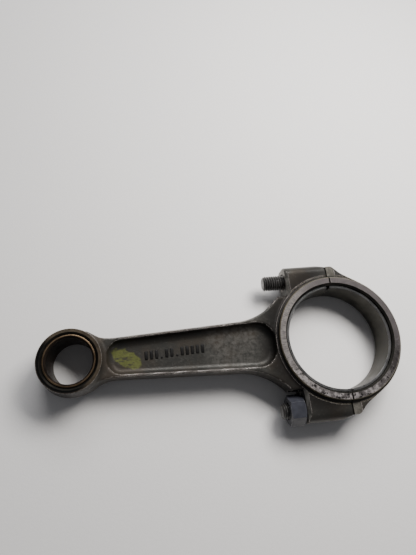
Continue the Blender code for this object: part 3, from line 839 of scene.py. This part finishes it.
def ring_finish():
    """The ground thrust ring: bright and patchy, with fine marks across it and a painted reflection on its
    rod side.
    """
    f = Finish("thrust_face", 0.35, 0.9)
    radius, turn = f.polar(0.0)
    marks_at = f.joined(f.times(radius, 0.18), f.times(turn, 95.0), 0.0)
    across = f.noise(0.5, 3.0, 0.6, at=marks_at)
    body = f.mix(across, (0.22, 0.19, 0.185), (0.36, 0.32, 0.305))
    # Painted reflection: the ring's rod side is lightened as if it caught the window.
    rod_side_reflection = f.times(f.step(f.x, -8.0, -26.0), f.step(across, 0.35, 0.60))
    body = f.over(body, (0.66, 0.60, 0.54), rod_side_reflection, 0.8)
    stain = f.noise(2.4, 5.0, 0.72, seed=2.0)
    low_side = f.step(f.y, 2.0, -20.0)
    spots = f.times(f.step(stain, 0.50, 0.60), low_side)
    bright = f.times(f.step(f.noise(2.4, 4.0, 0.7, seed=4.0), 0.44, 0.60), low_side)
    body = f.mix(bright, body, (0.90, 0.81, 0.77))
    body = f.mix(spots, body, (0.028, 0.024, 0.024))
    worn = f.times(f.step(f.x, 12.0, 24.0), f.step(f.y, 2.0, -14.0))
    body = f.over(body, (0.075, 0.065, 0.062), worn, 0.7)
    body = f.over(body, (0.62, 0.58, 0.50), f.edges(0.3), 0.5)
    f.colour(body)
    f.rough(f.step(stain, 0.3, 0.7, 0.28, 0.48))
    f.bump(across, 0.03)
    return f.material


def turned_finish(name, dark, light, centre_x, roughness=0.38, metallic=0.85):
    """A lathe-turned face: fine rings round its axis, mottled with oil."""
    f = Finish(name, roughness, metallic)
    radius, turn = f.polar(centre_x)
    rings = f.noise(0.35, 2.0, 0.6, at=f.joined(radius, f.times(turn, 0.6), f.z))
    patch = f.noise(5.0, 4.0, 0.6, seed=7.0)
    body = f.mix(f.step(patch, 0.3, 0.7), dark, light)
    body = f.over(body, [c * 0.45 for c in dark], rings, 0.35)
    body = f.over(body, [min(1.0, c * 2.6) for c in light], f.edges(0.25), 0.45)
    f.colour(body)
    f.rough(f.step(patch, 0.3, 0.7, roughness - 0.08, roughness + 0.12))
    f.bump(rings, 0.03)
    return f.material


def eye_finish():
    """The small end's faced rim: browned metal, with painted shade on one side and a painted shadow round
    the bore there.
    """
    f = Finish("eye_face", 0.42, 0.8)
    radius, turn = f.polar(-CENTRES)
    rings = f.noise(0.4, 2.0, 0.6, at=f.joined(radius, turn, 0.0))
    patch = f.noise(4.0, 4.0, 0.6, seed=7.0)
    body = f.mix(f.step(patch, 0.3, 0.7), (0.066, 0.051, 0.037), (0.12, 0.094, 0.064))
    across = across_eye(f)
    # Painted shade: the face goes near black on its side away from the lamp.
    face_shade = f.step(f.plus(across, f.times(patch, 8.0)), 7.0, -5.0)
    # Painted shadow: a black band round the bore on the side away from the lamp.
    inner = f.times(f.step(radius, 15.1, 14.6), f.step(across, 2.0, -6.0))
    body = f.over(body, (0.014, 0.012, 0.011), face_shade, 0.80)
    body = f.mix(inner, body, (0.006, 0.006, 0.006))
    body = f.over(body, (0.26, 0.20, 0.15), f.edges(0.25), 0.35)
    f.colour(body)
    f.rough(f.step(patch, 0.3, 0.7, 0.34, 0.52))
    f.bump(rings, 0.03)
    return f.material


def milled_finish(name, dark, light, roughness=0.42):
    """A flat milled or ground face, stained by oil."""
    f = Finish(name, roughness, 0.8)
    lines = f.noise(0.4, 2.0, 0.5, at=f.stretched(1.0, 0.15, 1.0))
    patch = f.noise(3.0, 4.0, 0.65, seed=6.0)
    body = f.mix(f.step(patch, 0.35, 0.65), dark, light)
    body = f.over(body, [min(1.0, c * 1.8) for c in light], f.edges(0.3), 0.2)
    f.colour(body)
    f.rough(f.step(lines, 0.2, 0.8, roughness - 0.1, roughness + 0.1))
    f.bump(lines, 0.03)
    return f.material


def blacked_finish(name, body_colour, worn_colour, roughness, metallic=0.7):
    """Black-oxide steel, rubbed bright along its edges and thread crests, with painted shade in its
    hollows.
    """
    f = Finish(name, roughness, metallic)
    patch = f.noise(2.4, 4.0, 0.6, seed=8.0)
    body = f.mix(f.step(patch, 0.35, 0.7), [c * 0.7 for c in body_colour], body_colour)
    worn = f.times(f.edges(0.22), f.step(f.noise(1.1, 2.0, seed=11.0), 0.38, 0.6))
    body = f.over(body, worn_colour, worn, 0.55)
    # Painted shade: near black in thread roots and corners that the occlusion finds.
    body = f.over(body, (0.008, 0.008, 0.009), f.hollows(1.0), 0.7)
    f.colour(body)
    f.rough(f.step(patch, 0.3, 0.7, roughness - 0.08, roughness + 0.1))
    f.bump(f.noise(0.5, 3.0, 0.6, seed=12.0), 0.03)
    return f.material


# ------------------------------------------------------------------ dressing
def face_table(piece):
    """Centres in mm from the crank axis, and normals, of the piece's faces."""
    count = len(piece.data.polygons)
    centres = np.empty(count * 3)
    normals = np.empty(count * 3)
    piece.data.polygons.foreach_get("center", centres)
    piece.data.polygons.foreach_get("normal", normals)
    return (centres.reshape(-1, 3) - np.array(BIG_END)) / MM, normals.reshape(-1, 3)


def dress(piece, materials, choice):
    """Give each face its material, smooth the shading and keep real edges sharp."""
    piece.data.materials.clear()
    for material in materials:
        piece.data.materials.append(material)
    piece.data.polygons.foreach_set("material_index", np.asarray(choice, dtype=np.int32))
    piece.data.shade_smooth()
    piece.data.set_sharp_from_angle(angle=SHARP_ANGLE)
    piece.data.update()


def dress_plain(piece, material):
    """Give every face the one material."""
    dress(piece, [material], np.zeros(len(piece.data.polygons)))


def forging_faces(piece):
    """The finish of each face of a forging, from its place and the way it looks."""
    at, normal = face_table(piece)
    x, y, z = at.T
    out, height = np.abs(y), np.abs(z)
    radius = np.hypot(x, y)
    eye_radius = np.hypot(x + CENTRES, y)
    upright = np.abs(normal[:, 2]) > SQUARE
    faced = upright & (height > HALF - NEAR)
    choice = np.full(len(at), FORGED, dtype=np.int32)
    wall = (radius > RING_R - 0.6) & (radius < RING_R + 0.2)
    choice[wall & (height > LEDGE_TOP + 0.7)] = RING_WALL
    choice[faced & (radius < RING_R + 1.0)] = THRUST
    rim = (radius > LEDGE_R - 0.02) & (radius < LEDGE_R + 0.6) & (out > BOSS_INNER_Y)
    rim &= (height > LEDGE_TOP + 0.02) & (height < HUB_TOP + 0.1)
    choice[rim & ~upright] = RING_WALL
    boss_bevel = (normal[:, 0] < -0.5) & (np.abs(normal[:, 2]) > 0.5)
    boss_bevel &= (np.abs(x - BOSS_END_X) < 1.6) & (height > HUB_TOP - 1.6)
    choice[boss_bevel & (out > BOSS_INNER_Y + 2.0)] = MILLED
    choice[faced & (eye_radius < EYE_MID_R + 1.0)] = EYE_FACE
    housing = (radius > HOUSING_R - 1.0) & (radius < HOUSING_R + HOUSING_CHAMFER + 0.1)
    eye_bore = eye_radius < EYE_BORE_R + EYE_BORE_CHAMFER + 0.1
    choice[(housing | eye_bore) & ~upright] = BORED
    at_joint = np.abs(x) < GAP + JOINT_GROOVE
    groove_floor = upright & (np.abs(height - JOINT_GROOVE_Z) < NEAR) & (out > EAR_FLAT_Y - 0.5)
    choice[at_joint & (groove_floor | (np.abs(normal[:, 0]) > 0.6))] = BORED
    choice[(normal[:, 0] < -SQUARE) & (np.abs(x - BOSS_END_X) < 0.3)] = MILLED
    flat = upright & (x > 0.0) & (x < EAR_FLAT_X) & (np.abs(height - EAR_FLAT_TOP) < NEAR)
    choice[flat & (out > EAR_FLAT_Y)] = EAR_FLAT
    return choice


def dress_all(rod, cap, shells, bush, bolts, nut, marks):
    """Give every piece its finishes."""
    forging = {
        FORGED: forged_finish(),
        THRUST: ring_finish(),
        EYE_FACE: eye_finish(),
        BORED: turned_finish("bored_steel", (0.022, 0.021, 0.019), (0.05, 0.046, 0.038), 0.0, 0.45),
        MILLED: milled_finish("milled_flat", (0.10, 0.095, 0.085), (0.22, 0.21, 0.19)),
        EAR_FLAT: milled_finish("ear_flat", (0.13, 0.120, 0.100), (0.26, 0.24, 0.205), 0.5),
        RING_WALL: turned_finish("ring_wall", (0.09, 0.078, 0.054), (0.19, 0.165, 0.112), 0.0, 0.42, 0.75),
    }
    for piece in (rod, cap):
        dress(piece, forging.values(), forging_faces(piece))
    edge = turned_finish("shell_edge", (0.26, 0.25, 0.24), (0.42, 0.41, 0.39), 0.0, 0.3, 0.95)
    lining = turned_finish("shell_lining", (0.060, 0.057, 0.050), (0.11, 0.105, 0.090), 0.0, 0.42, 0.8)
    for shell in shells:
        at, normal = face_table(shell)
        inner = (np.hypot(at[:, 0], at[:, 1]) < SHELL_BORE_R + 0.05) & (np.abs(normal[:, 2]) < 0.3)
        dress(shell, [edge, lining], inner)
    rim = turned_finish("bronze_rim", (0.13, 0.088, 0.052), (0.24, 0.165, 0.10), -CENTRES, 0.36, 0.95)
    liner = turned_finish("bronze_bore", (0.035, 0.027, 0.022), (0.075, 0.055, 0.040), -CENTRES, 0.42, 0.85)
    height = np.abs(face_table(bush)[0][:, 2])
    dress(bush, [rim, liner], height < HALF - 0.5)
    black = blacked_finish("black_oxide", (0.055, 0.052, 0.049), (0.30, 0.29, 0.28), 0.34, 0.45)
    for bolt in bolts:
        dress_plain(bolt, black)
    dress_plain(nut, blacked_finish("blued_nut", (0.036, 0.037, 0.046), (0.24, 0.24, 0.25), 0.40, 0.15))
    dress_plain(marks, blacked_finish("oiled_marks", (0.016, 0.015, 0.014), (0.07, 0.065, 0.06), 0.45, 0.5))


# ------------------------------------------------------------------ stage, in metres
FLOOR_HALF = 1.5
LENS, SENSOR = 29.0, 36.0           # mm
CAMERA_AT = (-0.09373, -0.03661, 0.22754)
CAMERA_LOOK, CAMERA_RIGHT = (0.12611, 0.31508, -0.94065), (0.98954, -0.10693, 0.09685)
WORLD_STRENGTH = 0.16
KEY_AT, KEY_AIM, KEY_SIZE, KEY_POWER = (0.17, 0.19, 0.30), (0.03, 0.02, 0.0), (0.18, 0.15), 2.8
WINDOW_AT, WINDOW_AIM, WINDOW_SIZE, WINDOW_POWER = (0.06, 0.66, 0.60), (0.0, 0.0, 0.0), (0.55, 0.40), 5.2


def matte(name, colour, roughness):
    """A plain dull surface with a faint speckle."""
    f = Finish(name, roughness, 0.0)
    speckle = f.noise(1.2, 3.0, 0.6)
    f.colour(f.mix(speckle, [c * 0.95 for c in colour], colour))
    f.bump(speckle, 0.05)
    return f.material


def place_floor():
    """A wide plain floor under the rod."""
    far = FLOOR_HALF
    mesh = bpy.data.meshes.new("floor")
    corners = [(-far, -far, 0.0), (far, -far, 0.0), (far, far, 0.0), (-far, far, 0.0)]
    mesh.from_pydata(corners, [], [(0, 1, 2, 3)])
    floor = bpy.data.objects.new("floor", mesh)
    bpy.context.scene.collection.objects.link(floor)
    floor.data.materials.append(matte("floor", (0.715, 0.695, 0.68), 0.75))


def place_light(name, location, aim, size, power, colour, glossy):
    """A rectangular lamp that looks at the aim, all in metres."""
    data = bpy.data.lights.new(name, "AREA")
    data.shape = "RECTANGLE"
    data.size, data.size_y = size
    data.energy = power
    data.color = colour
    light = bpy.data.objects.new(name, data)
    light.location = location
    light.visible_glossy = glossy
    back = (Vector(location) - Vector(aim)).normalized()
    light.rotation_euler = back.to_track_quat("Z", "Y").to_euler()
    bpy.context.scene.collection.objects.link(light)


def place_world(strength):
    """An even, slightly cool sky."""
    world = bpy.data.worlds.new("studio")
    world.use_nodes = True
    background = world.node_tree.nodes["Background"]
    background.inputs["Color"].default_value = (0.92, 0.94, 1.0, 1.0)
    background.inputs["Strength"].default_value = strength
    bpy.context.scene.world = world


def place_camera():
    """The camera, placed and turned from the crank axis."""
    data = bpy.data.cameras.new("camera")
    data.sensor_fit = "AUTO"
    data.sensor_width = SENSOR
    data.lens = LENS
    data.clip_start = 0.01
    camera = bpy.data.objects.new("camera", data)
    bpy.context.scene.collection.objects.link(camera)
    back = -Vector(CAMERA_LOOK).normalized()
    right = Vector(CAMERA_RIGHT).normalized()
    up = back.cross(right)
    turn = Matrix((right, up, back)).transposed()
    camera.matrix_world = Matrix.Translation(BIG_END + Vector(CAMERA_AT)) @ turn.to_4x4()
    bpy.context.scene.camera = camera


# ------------------------------------------------------------------ the scene
place_camera()
place_floor()
place_world(WORLD_STRENGTH)
place_light("key", KEY_AT, KEY_AIM, KEY_SIZE, KEY_POWER, (1.0, 0.985, 0.96), glossy=False)
place_light("window", WINDOW_AT, WINDOW_AIM, WINDOW_SIZE, WINDOW_POWER, (0.97, 0.98, 1.0), glossy=True)

rod, cap = build_forgings()
shells = build_shells()
bush = build_bush()
bolts = [build_bolt(side, sign) for side, sign in SIDES.items()]
nut = build_nut("lower", SIDES["lower"])
marks = build_marks()
dress_all(rod, cap, shells, bush, bolts, nut, marks)

for piece, body, node, slot in (
    (rod, "rod", "rod_body", "forged_steel"),
    (cap, "cap", "big_end_cap", "forged_steel"),
    (shells[0], "rod", "rod_side_shell", "bearing_steel"),
    (shells[1], "cap", "cap_side_shell", "bearing_steel"),
    (bush, "rod", "small_end_bush", "bronze"),
    (bolts[0], "upper_bolt_body", "upper_bolt", "black_steel"),
    (bolts[1], "lower_bolt_body", "lower_bolt", "black_steel"),
    (nut, "nut", "lower_nut", "nut_steel"),
):
    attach(piece, body)
    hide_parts(node)
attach(marks, "rod")
